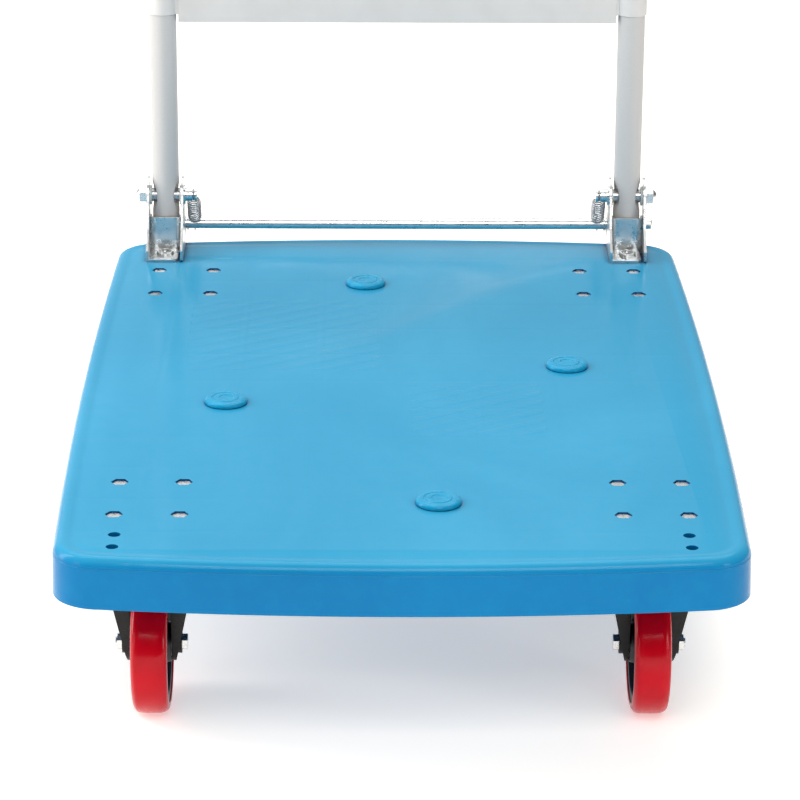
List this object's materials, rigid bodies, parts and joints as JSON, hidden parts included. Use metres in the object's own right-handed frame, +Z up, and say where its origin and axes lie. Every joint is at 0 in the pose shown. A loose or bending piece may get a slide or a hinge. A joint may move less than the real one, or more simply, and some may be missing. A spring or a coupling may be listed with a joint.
{
  "type": "folding platform cart",
  "caption": "Flatbed hand cart with a ribbed blue plastic deck, fold-down tubular handle, foot release bar and red-tyred casters.",
  "frame": {"origin": "on the floor under the middle of the deck, wheels resting on Z = 0", "axes": "+Z up out of the load face, +Y along the deck towards the handle, +X across the deck to the right as seen from the open end"},
  "size_m": [0.6, 0.9, 0.878],
  "materials": {
    "deck_plastic": "sky blue moulded polypropylene, semi-gloss",
    "zinc_plate": "bright zinc-plated pressed steel",
    "zinc_fasteners": "bright zinc plating",
    "spring_wire": "zinc-plated spring wire",
    "nylon": "natural nylon",
    "tube_paint": "satin silver-grey powder coat",
    "sleeve_steel": "turned steel",
    "panel_plastic": "light grey moulded plastic, satin",
    "black_paint": "gloss black stoved paint",
    "bearing_steel": "ground bearing steel",
    "tread": "cast red polyurethane, glossy",
    "core_plastic": "black moulded polypropylene"
  },
  "bodies": {
    "cart": {"deck": "deck_plastic", "round_caps": "deck_plastic", "bracket_left": "zinc_plate", "bracket_right": "zinc_plate", "bracket_screws": "zinc_fasteners", "bracket_washers": "zinc_fasteners", "bracket_nuts": "zinc_fasteners", "pivot_bolts": "zinc_fasteners", "pivot_cap_nuts": "zinc_fasteners", "pivot_outer_washers": "zinc_fasteners", "pivot_thrust_washers": "nylon", "spring_left": "spring_wire", "spring_right": "spring_wire", "caster_bolts": "zinc_fasteners", "caster_washers": "zinc_fasteners", "caster_nuts": "zinc_fasteners", "rigid_fork_left": "black_paint", "rigid_fork_right": "black_paint", "swivel_plate_left": "black_paint", "swivel_plate_right": "black_paint", "kingpins": "zinc_fasteners", "spacers_front": "sleeve_steel", "axle_bolts_front": "zinc_fasteners", "axle_nuts_front": "zinc_fasteners"},
    "handle": {"handle_tube": "tube_paint", "pivot_sleeves": "sleeve_steel", "panel_front": "panel_plastic", "panel_back": "panel_plastic", "panel_screws": "zinc_fasteners"},
    "foot_bar": {"release_bar": "zinc_plate", "bar_rings": "zinc_fasteners"},
    "swivel_left": {"swivel_fork_left": "black_paint", "balls_left": "bearing_steel", "spacers_rear_left": "sleeve_steel", "axle_bolt_rear_left": "zinc_fasteners", "axle_nut_rear_left": "zinc_fasteners"},
    "swivel_right": {"swivel_fork_right": "black_paint", "balls_right": "bearing_steel", "spacers_rear_right": "sleeve_steel", "axle_bolt_rear_right": "zinc_fasteners", "axle_nut_rear_right": "zinc_fasteners"},
    "wheel_front_left": {"tyre_front_left": "tread", "core_front_left": "core_plastic", "bearings_front_left": "bearing_steel"},
    "wheel_front_right": {"tyre_front_right": "tread", "core_front_right": "core_plastic", "bearings_front_right": "bearing_steel"},
    "wheel_rear_left": {"tyre_rear_left": "tread", "core_rear_left": "core_plastic", "bearings_rear_left": "bearing_steel"},
    "wheel_rear_right": {"tyre_rear_right": "tread", "core_rear_right": "core_plastic", "bearings_rear_right": "bearing_steel"}
  },
  "joints": [
    {"name": "handle_fold", "type": "hinge", "parent": "cart", "child": "handle", "pos_m": [0, 0.413, 0.256], "axis": [1, 0, 0], "range_deg": [0, 93.5]},
    {"name": "foot_bar_press", "type": "slide", "parent": "cart", "child": "foot_bar", "axis": [0, 0, -1], "range_m": [0, 0.01], "stiffness_N_per_m": 3000, "springref_m": -0.01, "deforming": ["spring_left", "spring_right"]},
    {"name": "swivel_left_turn", "type": "hinge", "parent": "cart", "child": "swivel_left", "pos_m": [-0.2175, 0.298, 0.139], "axis": [0, 0, 1], "continuous": true},
    {"name": "swivel_right_turn", "type": "hinge", "parent": "cart", "child": "swivel_right", "pos_m": [0.2175, 0.298, 0.139], "axis": [0, 0, 1], "continuous": true},
    {"name": "wheel_front_left_spin", "type": "hinge", "parent": "cart", "child": "wheel_front_left", "pos_m": [-0.2175, -0.298, 0.0625], "axis": [1, 0, 0], "continuous": true},
    {"name": "wheel_front_right_spin", "type": "hinge", "parent": "cart", "child": "wheel_front_right", "pos_m": [0.2175, -0.298, 0.0625], "axis": [1, 0, 0], "continuous": true},
    {"name": "wheel_rear_left_spin", "type": "hinge", "parent": "swivel_left", "child": "wheel_rear_left", "pos_m": [-0.2175, 0.336, 0.0625], "axis": [1, 0, 0], "continuous": true},
    {"name": "wheel_rear_right_spin", "type": "hinge", "parent": "swivel_right", "child": "wheel_rear_right", "pos_m": [0.2175, 0.336, 0.0625], "axis": [1, 0, 0], "continuous": true}
  ]
}
